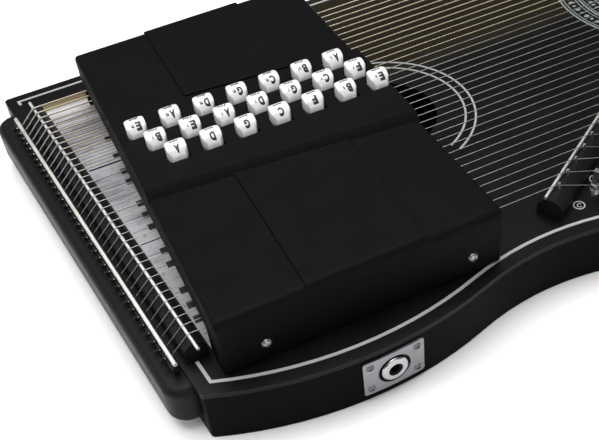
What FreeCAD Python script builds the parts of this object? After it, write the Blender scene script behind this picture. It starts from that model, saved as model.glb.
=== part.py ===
import FreeCAD, Part
import math
import os

from FreeCAD import Placement, Rotation, Vector

# A 36-string, 21-chord zither (autoharp type), in millimetres.
# X runs along the strings from the anchor end (-X) to the tuning pins (+X),
# +Y is the bass side, +Z is up, and the origin is under the middle of the whole
# instrument, on the surface that it lies on.

# Driving dimensions. Names ending in _x, _y and _z are places, the rest are sizes.
DIMENSIONS = {
    # case
    "body_height": 38, "panel_thickness": 3, "rail_thickness": 13, "centre_shift": 1.27,
    "bass_edge_y": 175.6, "tail_bass_x": -364.5, "tail_treble_x": -323.8, "pin_end_x": 376.96,
    "bulge_x": -229.8, "bulge_y": 69.2, "bulge_radius": 244.8,
    "waist_x": -99.4, "waist_radius": 172.8,
    "tail_corner_radius": 3, "shoulder_radius": 40, "bass_corner_radius": 20,
    "anchor_rail_width": 42, "pin_block_width": 72, "block_margin": 73,
    "brace_width": 8, "brace_height": 14, "brace_bass_y": 150,
    "brace_1_x": -278, "brace_1_y": -140, "brace_2_x": -205, "brace_2_y": -150,
    "brace_3_x": -62, "brace_3_y": -88, "brace_4_x": 40, "brace_4_y": -20,
    "hole_x": -131.5, "hole_y": 6.5, "hole_radius": 39,
    # end cap
    "cap_depth": 15, "cap_low_z": 7, "cap_top_z": 35, "cap_bass_y": 160, "cap_treble_y": -148,
    "cap_corner": 13, "cap_bullnose": 5,
    # strings and what holds them
    "string_count": 36, "wound_count": 13, "string_pitch": 7.3, "string_mid_y": 1.15, "string_z": 53.6,
    "anchor_gap": 13.5, "anchor_width": 5, "anchor_height": 5, "anchor_length": 275, "anchor_top_z": 45.3,
    "anchor_rod_radius": 1.3, "anchor_hole_z": 41.7, "anchor_bend": 0.9, "anchor_hole_spare": 0.12,
    "ball_radius": 1.5, "ball_length": 2.4, "ball_gap": 0.25, "tail_bend": 0.45,
    "tail_rod_x": -331.7, "tail_slant": 0.116, "tail_bridge_length": 267, "tail_rod_overhang": 6.3,
    "bridge_width": 14, "bridge_height": 12.2, "rod_radius": 1.0, "string_rest": 0.9,
    "pin_bridge_width": 16, "pin_bridge_height": 12.8, "pin_bridge_offset": 3.2,
    "pin_rod_x": -93.0, "pin_rod_y": -131.3, "pin_rod_angle": 33.2, "pin_bridge_length": 481,
    "guide_gap": 5.2, "guide_radius": 0.8, "guide_top_z": 55.6, "guide_low_z": 22,
    "turn_angle": -20, "pin_first": 22.5, "pin_row_step": 12, "pin_rows": 3,
    "pin_radius": 2.5, "pin_low_z": 8, "pin_round_top_z": 50, "pin_top_z": 60.5, "pin_square": 3.4,
    "wind_z": 46.5,
    # inlays and printed scales
    "inlay_thickness": 0.4, "inlay_inset": 7.6, "inlay_width": 2, "inlay_return": 15, "inlay_bass_return": 4,
    "ring_outer_radius": 64.8, "ring_inner_radius": 58, "ring_width": 1.4,
    "ring_start": -64.5, "ring_end": 118,
    "rosette_x": 130.6, "rosette_y": 40, "rosette_radius": 79.6, "rosette_inner_radius": 65.5,
    "rosette_width": 1.2, "rosette_start": 32, "rosette_end": 222,
    "scale_gap": 9, "scale_thickness": 0.6, "scale_right_x": -304.6,
    "scale_bass_y": 152, "scale_treble_y": -130,
    "label_radius": 3.7, "label_width": 0.8, "label_along": 8.4, "label_out": 15.4, "label_thickness": 0.2,
    # chord bars
    "bar_pitch": 7.66, "first_bar_x": -294.3, "bar_width": 5.8, "bar_low_y": -143.5, "bar_high_y": 137.5,
    "bar_low_z": 62.6, "bar_top_z": 74.6, "felt_low_y": -133, "felt_high_y": 130, "felt_low_z": 57.4,
    "notch_width": 4.6, "notch_depth": 3.6,
    "row_mid_y": 3.8, "row_pitch": 17.4, "stem_length": 4.4, "stem_width": 8,
    "cap_base_z": 78.2, "button_top_z": 90.6, "button_length": 13.2, "button_width": 11.4,
    "button_taper": 0.5, "button_round": 3.6, "button_edge": 1.4,
    # combs and springs
    "comb_left_x": -304, "comb_right_x": -137.4, "comb_thickness": 8,
    "bass_comb_y": 131, "treble_comb_y": -145, "slot_width": 6.4, "slot_floor_z": 55, "comb_top_z": 73.6,
    "foot_width": 9, "foot_height": 3.4, "comb_screw_x": -221,
    "spring_radius": 1.9, "spring_wire": 0.25, "spring_turns": 5,
    # covers
    "cover_left_x": -307.7, "cover_right_x": -135, "cover_bass_y": 141.5, "cover_treble_y": -151,
    "cover_top_z": 78, "cover_wall": 2, "cover_fold": 5, "cover_side_z": 58, "cover_foot_z": 39.5,
    "leg_bass_y": 131, "leg_treble_y": -131,
    "raised_left_x": -254.5, "raised_right_x": -181.5, "raised_top_z": 79.8,
    "panel_mid_left_y": 5.4, "panel_mid_right_y": -10.7, "panel_half_width": 40.5, "panel_slope": 5.5,
    "panel_top_z": 82.4, "panel_skirt_z": 74.9, "panel_wall": 2.2, "button_clearance": 0.5,
    "cover_screw_left_x": -281.5, "cover_screw_right_x": -154.5, "cover_screw_z": 50.5,
    "screw_radius": 1.7, "dome_radius": 3.2, "dome_height": 2.2,
    # output socket
    "jack_x": -219.3, "jack_z": 19.1, "plate_width": 38.6, "plate_height": 27.2, "plate_thickness": 1.2,
    "plate_corner": 1.6, "plate_screw_radius": 2.6, "plate_screw_inset": 4.6,
    "dish_radius": 10, "dish_depth": 2.6, "dish_wall": 0.9, "socket_radius": 3.2, "sleeve_radius": 4.4,
    "sleeve_out": 4, "jack_length": 26, "jack_body_radius": 8,
    "nut_radius": 8.5, "nut_thickness": 5, "nut_round": 1.6,
    "pickup_x": -250, "pickup_y": -70, "pickup_radius": 13.5, "pickup_thickness": 1.4, "lead_radius": 1.3,
}

doc = FreeCAD.newDocument("chorded_zither")
sheet = doc.addObject("Spreadsheet::Sheet", "dim")
for row, (alias, value) in enumerate(DIMENSIONS.items(), 1):
    sheet.set(f"A{row}", alias)
    sheet.set(f"B{row}", str(value))
    sheet.setAlias(f"B{row}", alias)
doc.recompute()

UP = Vector(0, 0, 1)
SPRING_STEPS = 8  # straight pieces in one turn of a coil
BRACE_COUNT = 4
NODES = []


def size(alias):
    """Value of one cell of the sheet."""
    return float(getattr(sheet, alias))


# ---------------------------------------------------------------- document helpers

def bound(type_name, name, formulas):
    """New document object with each property bound to a formula on the sheet."""
    thing = doc.addObject(type_name, name)
    for prop, formula in formulas.items():
        thing.setExpression(prop, formula)
    return thing


def place_formulas(x_place="0", y_place="0", z_place="0"):
    return {"Placement.Base.x": x_place, "Placement.Base.y": y_place, "Placement.Base.z": z_place}


def box(name, lengths, corner):
    formulas = dict(zip(("Length", "Width", "Height"), lengths))
    formulas.update(place_formulas(*corner))
    return bound("Part::Box", name, formulas)


def cylinder(name, radius, height, corner):
    return bound("Part::Cylinder", name, {"Radius": radius, "Height": height, **place_formulas(*corner)})


def fixed(name, shape):
    """A shape worked out from the sheet by Part's own functions."""
    thing = doc.addObject("Part::Feature", name)
    thing.Shape = shape
    return thing


def extrusion(name, profile, length, direction=UP):
    solid = bound("Part::Extrusion", name, {"LengthFwd": length})
    solid.Base = profile
    solid.DirMode = "Custom"
    solid.Dir = direction
    solid.Solid = True
    return solid


def cut(name, base, tool):
    result = doc.addObject("Part::Cut", name)
    result.Base = base
    result.Tool = tool
    return result


def fuse(name, *pieces):
    result = doc.addObject("Part::MultiFuse", name)
    result.Shapes = list(pieces)
    return result


def group(name, pieces):
    result = doc.addObject("Part::Compound", name)
    result.Links = list(pieces)
    return result


def node(thing, label):
    """Name a finished sub-part and centre it with the rest of the instrument."""
    thing.Label = label
    place = thing.Placement
    thing.Placement = Placement(place.Base + Vector(0, size("centre_shift"), 0), place.Rotation)
    NODES.append(thing)


def grouped_node(label, pieces):
    """A sub-part of one or more separate solids, moved as one."""
    node(group(label + "_group", pieces), label)


# ---------------------------------------------------------------- geometry helpers

def polygon_face(points):
    return Part.Face(Part.makePolygon([*points, points[0]]))


def arc_point(centre, radius, angle):
    return centre + Vector(radius * math.cos(math.radians(angle)), radius * math.sin(math.radians(angle)), 0)


def arc_band(centre, radius, width, start, end):
    """Flat ring sector with the given centre-line radius."""
    inner, outer = radius - width / 2, radius + width / 2
    middle = (start + end) / 2
    edges = [
        Part.Arc(*(arc_point(centre, outer, a) for a in (start, middle, end))).toShape(),
        Part.LineSegment(arc_point(centre, outer, end), arc_point(centre, inner, end)).toShape(),
        Part.Arc(*(arc_point(centre, inner, a) for a in (end, middle, start))).toShape(),
        Part.LineSegment(arc_point(centre, inner, start), arc_point(centre, outer, start)).toShape(),
    ]
    return Part.Face(Part.Wire(edges))


def far_side(point, direction, reach=1200):
    """Big square face on the right-hand side of a line through the point."""
    along = direction.normalize() * reach
    right = Vector(along.y, -along.x, 0)
    return polygon_face([point - along, point + along, point + along + right, point - along + right])


def tube(points, radius, bend=0.0):
    """Round solid along straight runs, with tangent arcs where bend is the share of the run used."""
    edges = []
    start = points[0]
    for before, corner, after in zip(points, points[1:], points[2:]):
        reach = bend * min(before.distanceToPoint(corner), corner.distanceToPoint(after))
        into = corner + (before - corner).normalize() * reach
        out = corner + (after - corner).normalize() * reach
        half_turn = (corner - before).getAngle(after - corner) / 2
        inward = ((before - corner).normalize() + (after - corner).normalize()).normalize()
        depth = reach * (1 / math.cos(half_turn) - 1) / math.tan(half_turn)
        edges.append(Part.LineSegment(start, into).toShape())
        edges.append(Part.Arc(into, corner + inward * depth, out).toShape())
        start = out
    edges.append(Part.LineSegment(start, points[-1]).toShape())
    circle = Part.Wire(Part.Circle(points[0], points[1] - points[0], radius).toShape())
    return Part.Wire(edges).makePipeShell([circle], True, True)


def kinked_rod(points, radius):
    """Thin round wire with sharp corners, as a string has over a bridge."""
    circle = Part.Wire(Part.Circle(points[0], points[1] - points[0], radius).toShape())
    return Part.makePolygon(points).makePipeShell([circle], True, False, 1)


def rounded_rectangle(length, width, radius, height_z):
    """Horizontal wire about the Z axis."""
    x, y = length / 2, width / 2
    slab = Part.makeBox(length, width, 1, Vector(-x, -y, height_z))
    uprights = [edge for edge in slab.Edges if abs(edge.tangentAt(edge.FirstParameter).z) > 0.9]
    return min(slab.makeFillet(radius, uprights).Faces, key=lambda face: face.CenterOfMass.z).OuterWire


def dome_screw(shank_radius, shank_length, head_radius, head_height):
    """Screw with a low domed head and a cross recess, its head's seat at the origin, pointing up."""
    ball_radius = (head_radius ** 2 + head_height ** 2) / (2 * head_height)
    ball = Part.makeSphere(ball_radius, Vector(0, 0, head_height - ball_radius))
    head = ball.common(Part.makeCylinder(head_radius, head_height))
    shank = Part.makeCylinder(shank_radius, shank_length, Vector(0, 0, -shank_length))
    screw = head.fuse(shank)
    for turn in (0, 90):
        slot = Part.makeBox(head_radius, head_radius / 4, head_height,
                            Vector(-head_radius / 2, -head_radius / 8, head_height / 2))
        slot.rotate(Vector(), UP, turn)
        screw = screw.cut(slot)
    return screw


def turned(shape, direction, place):
    """Shape built pointing up, aimed along a direction and moved to its place."""
    aimed = shape.copy()
    aimed.Placement = Placement(place, Rotation(UP, direction))
    return aimed


# ---------------------------------------------------------------- where things are

def string_y(index):
    """Strings are counted from the bass side."""
    return size("string_mid_y") - (index - (size("string_count") - 1) / 2) * size("string_pitch")


def tail_line_x(y_place):
    """The tail rod leans a little across the strings."""
    return size("tail_rod_x") - size("tail_slant") * y_place


TAIL_ACROSS = Vector(-size("tail_slant"), 1, 0).normalize()
PIN_ANGLE = math.radians(size("pin_rod_angle"))
PIN_ALONG = Vector(math.cos(PIN_ANGLE), math.sin(PIN_ANGLE), 0)
PIN_OUT = Vector(PIN_ALONG.y, -PIN_ALONG.x, 0)
PIN_START = Vector(size("pin_rod_x"), size("pin_rod_y"), 0)
TURN = Vector(math.cos(math.radians(size("turn_angle"))), math.sin(math.radians(size("turn_angle"))), 0)
TOP = size("body_height")
CASE_FLOOR = size("panel_thickness")
CASE_CEILING = TOP - size("panel_thickness")


def pin_line_x(y_place):
    return PIN_START.x + (y_place - PIN_START.y) * PIN_ALONG.x / PIN_ALONG.y


def guide_corner(index):
    """Where a string turns round its guide pin."""
    return Vector(pin_line_x(string_y(index)) + size("guide_gap"), string_y(index), size("string_z"))


def tuning_pin_axis(index):
    row = (int(size("string_count")) - 1 - index) % int(size("pin_rows"))
    reach = size("pin_first") + row * size("pin_row_step")
    return guide_corner(index) + TURN * reach


def string_radius(index):
    """Wound bass strings thin out from 0.62 mm, plain ones from 0.3 mm."""
    wound = int(size("wound_count"))
    if index < wound:
        return 0.62 - 0.018 * index
    return 0.3 - 0.004 * (index - wound)


def bar_x(index):
    return size("first_bar_x") + index * size("bar_pitch")


def button_y(index):
    """Three rows: far, middle, near, over and over."""
    return size("row_mid_y") + (1 - index % 3) * size("row_pitch")


def panel_mid_y(x_place):
    span = size("cover_right_x") - size("cover_left_x")
    share = (x_place - size("cover_left_x")) / span
    return size("panel_mid_left_y") + share * (size("panel_mid_right_y") - size("panel_mid_left_y"))


# ---------------------------------------------------------------- case

def tail_corners():
    """Sharp corners of the slanted tail edge, treble and bass; the first lies on the bulge."""
    across = size("tail_treble_x") - size("bulge_x")
    drop = math.sqrt(size("bulge_radius") ** 2 - across ** 2)
    treble = Vector(size("tail_treble_x"), size("bulge_y") - drop, 0)
    return treble, Vector(size("tail_bass_x"), size("bass_edge_y"), 0)


def case_outline():
    """Plan of the case: straight bass side, slanted tail, bulged and waisted treble side, angled pin end."""
    bulge = Vector(size("bulge_x"), size("bulge_y"), 0)
    radius, waist_radius = size("bulge_radius"), size("waist_radius")
    drop = math.sqrt((radius + waist_radius) ** 2 - (size("waist_x") - bulge.x) ** 2)
    waist = Vector(size("waist_x"), bulge.y - drop, 0)
    blend = bulge + (waist - bulge).normalize() * radius
    tail_treble, tail_bass = tail_corners()
    edge_start = PIN_START + PIN_OUT * size("block_margin")
    offset = edge_start - waist
    along = offset.dot(PIN_ALONG)
    shoulder = edge_start + PIN_ALONG * (math.sqrt(along ** 2 - offset.dot(offset) + waist_radius ** 2) - along)
    end_x = size("pin_end_x")
    end_treble = edge_start + PIN_ALONG * ((end_x - edge_start.x) / PIN_ALONG.x)
    end_bass = Vector(end_x, tail_bass.y, 0)
    corners = [
        (tail_bass, size("tail_corner_radius")), (tail_treble, size("tail_corner_radius")),
        (shoulder, size("shoulder_radius")), (end_treble, size("shoulder_radius")),
        (end_bass, size("bass_corner_radius")),
    ]
    edges = [
        Part.LineSegment(tail_bass, tail_treble).toShape(),
        Part.Arc(tail_treble, bulge + Vector(0, -radius, 0), blend).toShape(),
        Part.Arc(blend, waist + Vector(0, waist_radius, 0), shoulder).toShape(),
        Part.LineSegment(shoulder, end_treble).toShape(),
        Part.LineSegment(end_treble, end_bass).toShape(),
        Part.LineSegment(end_bass, tail_bass).toShape(),
    ]
    slab = Part.Face(Part.Wire(edges)).extrude(UP)
    for corner, corner_radius in corners:
        upright = [edge for edge in slab.Edges if edge.CenterOfMass.distanceToPoint(corner + UP * 0.5) < 0.01]
        slab = slab.makeFillet(corner_radius, upright)
    return min(slab.Faces, key=lambda face: face.CenterOfMass.z)


def lifted(face, height_z):
    copy = face.copy()
    copy.translate(Vector(0, 0, height_z))
    return copy


def make_case():
    outline = case_outline()
    panels = "dim.panel_thickness"
    back = extrusion("back_slab", fixed("back_outline", outline), panels)
    node(back, "back_panel")
    top_slab = extrusion("top_slab", fixed("top_outline", lifted(outline, CASE_CEILING)), panels)
    hole = cylinder("sound_hole", "dim.hole_radius", "3 * dim.panel_thickness",
                    ("dim.hole_x", "dim.hole_y", "dim.body_height - 2 * dim.panel_thickness"))
    node(cut("top_plate", top_slab, hole), "soundboard")

    inner = outline.makeOffset2D(-size("rail_thickness"))
    tail_point, tail_end = tail_corners()
    tail_edge = tail_end - tail_point
    tail_inward = Vector(tail_edge.y, -tail_edge.x, 0).normalize() * size("anchor_rail_width")
    anchor_zone = far_side(tail_point + tail_inward, tail_edge * -1)
    pin_zone = far_side(PIN_START + PIN_OUT * (size("block_margin") - size("pin_block_width")), PIN_ALONG)
    anchor = outline.common(anchor_zone)
    block = outline.common(pin_zone)
    rim = outline.cut(inner).cut(anchor_zone).cut(pin_zone)
    bass_rim, treble_rim = sorted(rim.Faces, key=lambda face: -face.CenterOfMass.y)
    wood_height = "dim.body_height - 2 * dim.panel_thickness"
    for label, face in (("anchor_rail", anchor), ("pin_block", block), ("bass_rail", bass_rim)):
        node(extrusion(label + "_slab", fixed(label + "_plan", lifted(face, CASE_FLOOR)), wood_height), label)
    rail = extrusion("treble_slab", fixed("treble_plan", lifted(treble_rim, CASE_FLOOR)), wood_height)
    dish = Part.makeCylinder(size("dish_radius") + size("dish_wall") + 0.2, 3 * size("rail_thickness"),
                             jack_point() + jack_out() * size("rail_thickness"), jack_out() * -1)
    node(cut("treble_rail_cut", rail, fixed("socket_hole", dish)), "treble_rail")
    make_braces()
    return outline


def make_braces():
    """Bars glued under the top, across the grain."""
    braces = [
        box(f"brace_{number}", ("dim.brace_width", f"dim.brace_bass_y - dim.brace_{number}_y", "dim.brace_height"),
            (f"dim.brace_{number}_x - dim.brace_width / 2", f"dim.brace_{number}_y",
             "dim.body_height - dim.panel_thickness - dim.brace_height"))
        for number in range(1, BRACE_COUNT + 1)
    ]
    grouped_node("soundboard_braces", braces)


def make_tail_cap():
    """Plastic cap over the tail, with rounded ends and a bullnose outer edge."""
    low, high = tail_corners()
    along = (high - low).normalize()
    out = Vector(-along.y, along.x, 0)

    def on_tail(y_place):
        return low + along * ((y_place - low.y) / along.y)

    start, end = on_tail(size("cap_treble_y")), on_tail(size("cap_bass_y"))
    depth = out * size("cap_depth")
    face = polygon_face([lift(p, size("cap_low_z")) for p in (start, end, end + depth, start + depth)])
    block = face.extrude(UP * (size("cap_top_z") - size("cap_low_z")))
    outer_corners = [edge for edge in block.Edges if abs(edge.tangentAt(edge.FirstParameter).z) > 0.9
                     and min(edge.CenterOfMass.distanceToPoint(lift(p + depth, edge.CenterOfMass.z))
                             for p in (start, end)) < 0.01]
    block = block.makeFillet(size("cap_corner"), outer_corners)
    rims = [edge for edge in block.Edges
            if abs(edge.tangentAt(edge.FirstParameter).z) < 0.1
            and (edge.CenterOfMass - start).dot(out) > size("cap_depth") / 2]
    block = block.makeFillet(size("cap_bullnose"), rims)
    node(fixed("tail_cap_shape", block), "tail_cap")


def lift(point, height_z):
    return Vector(point.x, point.y, height_z)


# ---------------------------------------------------------------- bridges, pins and strings

def bar_between(name, start, end, width, low_z, height):
    """Straight bar with a half-round top along a line."""
    along = (end - start).normalize()
    side = Vector(-along.y, along.x, 0) * (width / 2)
    shoulder = low_z + max(height - width / 2, 0)
    crown = low_z + height
    left, right = start + side, start - side
    edges = [
        Part.LineSegment(lift(left, shoulder), lift(left, low_z)).toShape(),
        Part.LineSegment(lift(left, low_z), lift(right, low_z)).toShape(),
        Part.LineSegment(lift(right, low_z), lift(right, shoulder)).toShape(),
        Part.Arc(lift(right, shoulder), lift(start, crown), lift(left, shoulder)).toShape(),
    ]
    return fixed(name, Part.Face(Part.Wire(edges)).extrude(end - start))


def make_bridge(prefix, start, end, base_shape, base_offset, rod_shape, holes=None):
    """Half-round bar with a steel rod let into it, which the strings cross."""
    width, height = base_shape
    radius, top_z, overhang = rod_shape
    base = bar_between(prefix + "_base", start + base_offset, end + base_offset, width, TOP, height)
    if holes:
        base = cut(prefix + "_drilled", base, holes)
    spare = (end - start).normalize() * overhang
    rod = Part.makeCylinder(radius, start.distanceToPoint(end) + 2 * overhang,
                            lift(start - spare, top_z - radius), end - start)
    node(cut(prefix + "_grooved", base, fixed(prefix + "_groove", rod)), prefix)
    node(fixed(prefix + "_rod_shape", rod), prefix + "_rod")


def make_bridges():
    rod_top = size("string_z") - size("string_rest")
    half = TAIL_ACROSS * (size("tail_bridge_length") / 2)
    centre = Vector(tail_line_x(size("string_mid_y")), size("string_mid_y"), 0)
    make_bridge("tail_bridge", centre - half, centre + half, (size("bridge_width"), size("bridge_height")),
                Vector(), (size("rod_radius"), rod_top, size("tail_rod_overhang")))
    make_bridge("pin_bridge", PIN_START, PIN_START + PIN_ALONG * size("pin_bridge_length"),
                (size("pin_bridge_width"), size("pin_bridge_height")), PIN_OUT * size("pin_bridge_offset"),
                (size("rod_radius"), rod_top, 0))
    make_anchor()


def anchor_x(y_place):
    return tail_line_x(y_place) - size("anchor_gap") * math.sqrt(1 + size("tail_slant") ** 2)


def string_tail(index):
    """A string from its ball end, level through the anchor and under its rod, then up to the tail rod."""
    y_place, hole_z = string_y(index), size("anchor_hole_z")
    behind = size("anchor_width") / 2 + size("ball_length") / 2 + size("ball_gap")
    return [
        Vector(anchor_x(y_place) - behind, y_place, hole_z),
        Vector(anchor_x(y_place) + size("anchor_bend"), y_place, hole_z),
        Vector(tail_line_x(y_place) - size("tail_bend"), y_place, size("string_z")),
    ]


def make_anchor():
    """Bar drilled for every string, with a steel rod along its top that holds them down."""
    spare = size("anchor_hole_spare")
    holes = [kinked_rod(string_tail(index), string_radius(index) + spare)
             for index in range(int(size("string_count")))]
    centre = Vector(anchor_x(size("string_mid_y")), size("string_mid_y"), 0)
    half = TAIL_ACROSS * (size("anchor_length") / 2)
    make_bridge("string_anchor", centre - half, centre + half, (size("anchor_width"), size("anchor_height")),
                Vector(), (size("anchor_rod_radius"), size("anchor_top_z"), 0),
                fixed("anchor_holes", Part.makeCompound(holes)))


def make_strings():
    wound, plain, balls = [], [], []
    string_z = size("string_z")
    for index in range(int(size("string_count"))):
        y_place, radius = string_y(index), string_radius(index)
        pin = tuning_pin_axis(index)
        wrap = Vector(-TURN.y, TURN.x, 0) * (size("pin_radius") + radius + 0.05)
        route = [
            *string_tail(index),
            Vector(pin_line_x(y_place), y_place, string_z),
            lift(guide_corner(index), string_z - size("string_rest")),
            lift(pin + wrap, size("wind_z")),
        ]
        family = wound if index < int(size("wound_count")) else plain
        family.append(fixed(f"string_{index + 1:02d}", kinked_rod(route, radius)))
        ball = Part.makeCylinder(size("ball_radius"), size("ball_length"),
                                 route[0] - Vector(size("ball_length") / 2, 0, 0), Vector(1, 0, 0))
        balls.append(fixed(f"ball_{index + 1:02d}", ball))
    grouped_node("wound_strings", wound)
    grouped_node("plain_strings", plain)
    grouped_node("string_ball_ends", balls)


def make_pins():
    """Guide pins turn each string towards its tuning pin; both stand in the pin block."""
    guides, pins = [], []
    inside = (TURN - Vector(1, 0, 0)).normalize()
    for index in range(int(size("string_count"))):
        centre = guide_corner(index) + inside * (size("guide_radius") + string_radius(index) + 0.1)
        guides.append(cylinder(f"guide_{index + 1:02d}", "dim.guide_radius", "dim.guide_top_z - dim.guide_low_z",
                               (f"{centre.x}", f"{centre.y}", "dim.guide_low_z")))
        axis = tuning_pin_axis(index)
        shank = Part.makeCylinder(size("pin_radius"), size("pin_round_top_z") - size("pin_low_z"),
                                  lift(axis, size("pin_low_z")))
        half = size("pin_square") / 2
        head = Part.makeBox(2 * half, 2 * half, size("pin_top_z") - size("pin_round_top_z"),
                            Vector(axis.x - half, axis.y - half, size("pin_round_top_z")))
        head.rotate(axis, UP, 45 + size("turn_angle"))
        pins.append(fixed(f"tuning_pin_{index + 1:02d}", shank.fuse(head)))
    grouped_node("guide_pins", guides)
    grouped_node("tuning_pins", pins)


# ---------------------------------------------------------------- inlays and scales

def flat_node(label, faces, thickness):
    """Thin pieces that lie on the top."""
    profile = fixed(label + "_plan", Part.makeCompound([lifted(face, TOP) for face in faces]))
    node(extrusion(label + "_slab", profile, thickness), label)


def make_inlays(outline):
    inset, width = size("inlay_inset"), size("inlay_width")
    band = outline.makeOffset2D(-inset).cut(outline.makeOffset2D(-inset - width))
    gap_low = tail_corners()[0].y + inset + size("inlay_return")
    gap_high = size("bass_edge_y") - size("inlay_bass_return") - inset - width
    left, right = size("tail_bass_x") - 1, size("cover_left_x")
    gap = polygon_face([Vector(left, gap_low, 0), Vector(right, gap_low, 0),
                        Vector(right, gap_high, 0), Vector(left, gap_high, 0)])
    flat_node("border_inlay", band.cut(gap).Faces, "dim.inlay_thickness")
    hole = Vector(size("hole_x"), size("hole_y"), 0)
    rings = [arc_band(hole, size(name), size("ring_width"), size("ring_start"), size("ring_end"))
             for name in ("ring_outer_radius", "ring_inner_radius")]
    flat_node("soundhole_rings", rings, "dim.inlay_thickness")
    rosette = Vector(size("rosette_x"), size("rosette_y"), 0)
    start, end = size("rosette_start"), size("rosette_end")
    arcs = [arc_band(rosette, size(name), size("rosette_width"), start, end)
            for name in ("rosette_radius", "rosette_inner_radius")]
    flat_node("rosette_inlay", arcs, "dim.inlay_thickness")


def make_scales():
    """Keyboard-like note scale beside the tail bridge, and a ring label for every second string."""
    high, low, right = size("scale_bass_y"), size("scale_treble_y"), size("scale_right_x")
    edge = [Vector(tail_line_x(y_place) + size("scale_gap"), y_place, 0) for y_place in (high, low)]
    flat_node("note_scale", [polygon_face([edge[0], edge[1], Vector(right, low, 0), Vector(right, high, 0)])],
              "dim.scale_thickness")
    labels = []
    for index in range(1, int(size("string_count")), 2):
        centre = Vector(pin_line_x(string_y(index)), string_y(index), 0)
        centre += PIN_ALONG * size("label_along") + PIN_OUT * size("label_out")
        radius = size("label_radius")
        outer = Part.Face(Part.Wire(Part.Circle(centre, UP, radius).toShape()))
        inner = Part.Face(Part.Wire(Part.Circle(centre, UP, radius - size("label_width")).toShape()))
        labels.append(outer.cut(inner).Faces[0])
    flat_node("note_labels", labels, "dim.label_thickness")


# ---------------------------------------------------------------- chord bars

PITCHES = {"C": 0, "C#": 1, "D": 2, "Eb": 3, "E": 4, "F": 5, "F#": 6, "G": 7, "Ab": 8, "A": 9, "Bb": 10, "B": 11}
CHORD_TONES = {"major": (0, 4, 7), "minor": (0, 3, 7), "seventh": (0, 4, 7, 10)}
BASS_NOTES = ["F", "G", "C", "D", "E", "F", "F#", "G", "A", "Bb", "B"]
CHORDS = [
    ("E", "minor"), ("B", "seventh"), ("A", "major"), ("A", "minor"), ("E", "seventh"), ("D", "major"),
    ("D", "minor"), ("A", "seventh"), ("G", "major"), ("G", "minor"), ("D", "seventh"), ("C", "major"),
    ("C", "minor"), ("G", "seventh"), ("F", "major"), ("Bb", "seventh"), ("C", "seventh"), ("Bb", "major"),
    ("Ab", "major"), ("F", "seventh"), ("Eb", "major"),
]


def string_pitch_class(index):
    """Eleven chosen bass notes, then every semitone up from C."""
    if index < len(BASS_NOTES):
        return PITCHES[BASS_NOTES[index]]
    return (index - len(BASS_NOTES)) % 12


def side_rectangle(low_y, high_y, low_z, high_z):
    return polygon_face([Vector(0, low_y, low_z), Vector(0, high_y, low_z),
                         Vector(0, high_y, high_z), Vector(0, low_y, high_z)])


def felt_profile(root, kind):
    """Side view of a felt strip, with a notch over each string that the chord lets ring."""
    tones = {(PITCHES[root] + step) % 12 for step in CHORD_TONES[kind]}
    low_z, half = size("felt_low_z"), size("notch_width") / 2
    notches = [side_rectangle(string_y(index) - half, string_y(index) + half, low_z - 1, low_z + size("notch_depth"))
               for index in range(int(size("string_count"))) if string_pitch_class(index) in tones]
    strip = side_rectangle(size("felt_low_y"), size("felt_high_y"), low_z, size("bar_low_z"))
    return strip.cut(notches).Faces[0]


def button_shape():
    """Tapered button with rounded edges, about the Z axis, on a stem that stands on its bar."""
    length, width, taper = size("button_length"), size("button_width"), size("button_taper")
    base = rounded_rectangle(length, width, size("button_round"), size("cap_base_z"))
    top = rounded_rectangle(length - taper, width - taper, size("button_round"), size("button_top_z"))
    cap = Part.makeLoft([base, top], True, True)
    rim = [edge for edge in cap.Edges if edge.BoundBox.ZMin > size("button_top_z") - 0.01]
    cap = cap.makeFillet(size("button_edge"), rim)
    stem = Part.makeBox(size("stem_length"), size("stem_width"), size("cap_base_z") - size("bar_top_z"),
                        Vector(-size("stem_length") / 2, -size("stem_width") / 2, size("bar_top_z")))
    return cap.fuse(stem).removeSplitter()


def make_chord_bars():
    """Each bar carries its felt below and its button above, and slides down against two springs."""
    button = button_shape()
    for index, (root, kind) in enumerate(CHORDS):
        name = f"{index + 1:02d}"
        left = f"dim.first_bar_x + {index} * dim.bar_pitch - dim.bar_width / 2"
        bar = box("bar_" + name, ("dim.bar_width", "dim.bar_high_y - dim.bar_low_y", "dim.bar_top_z - dim.bar_low_z"),
                  (left, "dim.bar_low_y", "dim.bar_low_z"))
        profile = felt_profile(root, kind)
        profile.translate(Vector(bar_x(index) - size("bar_width") / 2, 0, 0))
        felt = extrusion("felt_" + name, fixed("felt_side_" + name, profile), "dim.bar_width", Vector(1, 0, 0))
        cap = button.copy()
        cap.translate(Vector(bar_x(index), button_y(index), 0))
        grouped_node("chord_bar_" + name, [bar, felt, fixed("button_" + name, cap)])


# ---------------------------------------------------------------- combs and springs

def make_comb(label, outer_y, foot_y):
    """Comb that guides the ends of the bars, with a foot screwed to the top."""
    wall = box(label + "_wall",
               ("dim.comb_right_x - dim.comb_left_x", "dim.comb_thickness", "dim.comb_top_z - dim.body_height"),
               ("dim.comb_left_x", outer_y, "dim.body_height"))
    foot = box(label + "_foot", ("dim.comb_right_x - dim.comb_left_x", "dim.foot_width", "dim.foot_height"),
               ("dim.comb_left_x", foot_y, "dim.body_height"))
    slots = [
        box(f"{label}_slot_{index + 1:02d}",
            ("dim.slot_width", "dim.comb_thickness + 2", "dim.comb_top_z - dim.slot_floor_z + 1"),
            (f"dim.first_bar_x + {index} * dim.bar_pitch - dim.slot_width / 2", f"{outer_y} - 1", "dim.slot_floor_z"))
        for index in range(len(CHORDS))
    ]
    solid = fuse(label + "_blank", wall, foot)
    node(cut(label + "_slotted", solid, group(label + "_slots", slots)), label)


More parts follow.
